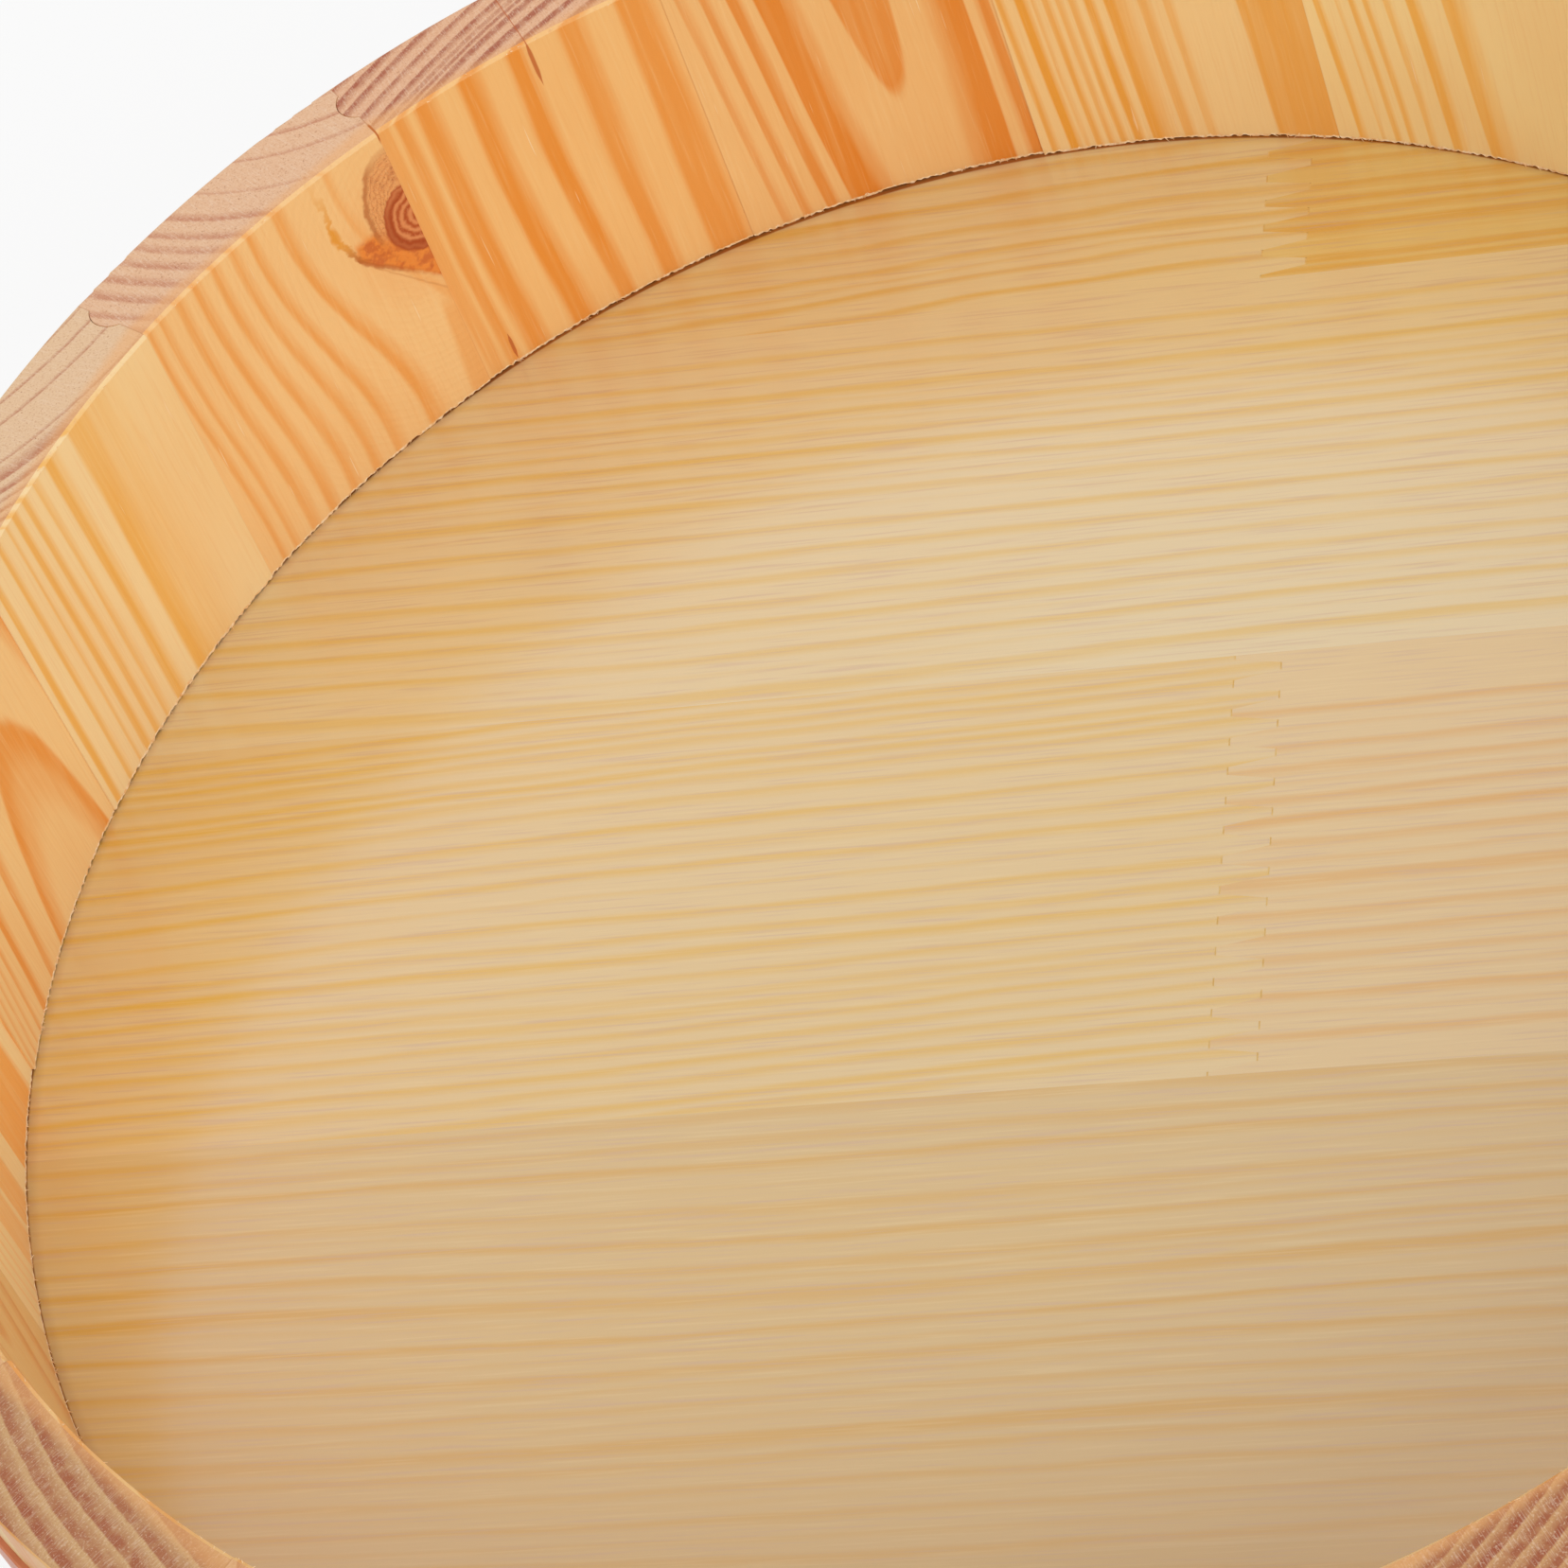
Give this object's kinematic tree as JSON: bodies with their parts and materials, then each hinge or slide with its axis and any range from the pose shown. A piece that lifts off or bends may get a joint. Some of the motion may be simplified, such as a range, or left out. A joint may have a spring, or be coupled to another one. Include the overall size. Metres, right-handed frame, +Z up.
{
  "type": "sushi rice tub",
  "caption": "Low round coopered rice tub, or hangiri: upright pine staves round a let-in strip floor, held by riveted copper hoops, with no lid.",
  "frame": {"origin": "centre of the foot ring, on the surface that the tub stands on", "axes": "+Z up along the axis of the tub, +X along the grain of its floor"},
  "size_m": [0.332, 0.332, 0.082],
  "materials": {
    "stave_pine": "quarter to flat sawn pine, turned smooth, bare or thinly oiled, satin",
    "floor_pine": "paler planed pine under a thin half-gloss coat",
    "hoop_copper": "rolled copper strip, satin, lightly browned",
    "rivet_copper": "domed copper rivet, satin"
  },
  "bodies": {
    "root": {"stave_01": "stave_pine", "stave_02": "stave_pine", "stave_03": "stave_pine", "stave_04": "stave_pine", "stave_05": "stave_pine", "stave_06": "stave_pine", "stave_07": "stave_pine", "stave_08": "stave_pine", "stave_09": "stave_pine", "stave_10": "stave_pine", "stave_11": "stave_pine", "stave_12": "stave_pine", "stave_13": "stave_pine", "stave_14": "stave_pine", "stave_15": "stave_pine", "stave_16": "stave_pine", "stave_17": "stave_pine", "stave_18": "stave_pine", "stave_19": "stave_pine", "stave_20": "stave_pine", "floor_strip_1": "floor_pine", "floor_strip_2": "floor_pine", "floor_strip_3_left": "floor_pine", "floor_strip_3_right": "floor_pine", "floor_strip_4": "floor_pine", "floor_strip_5_left": "floor_pine", "floor_strip_5_right": "floor_pine", "upper_hoop": "hoop_copper", "lower_hoop": "hoop_copper", "upper_hoop_rivet_1": "rivet_copper", "upper_hoop_rivet_2": "rivet_copper", "lower_hoop_rivet_1": "rivet_copper", "lower_hoop_rivet_2": "rivet_copper"}
  },
  "joints": []
}
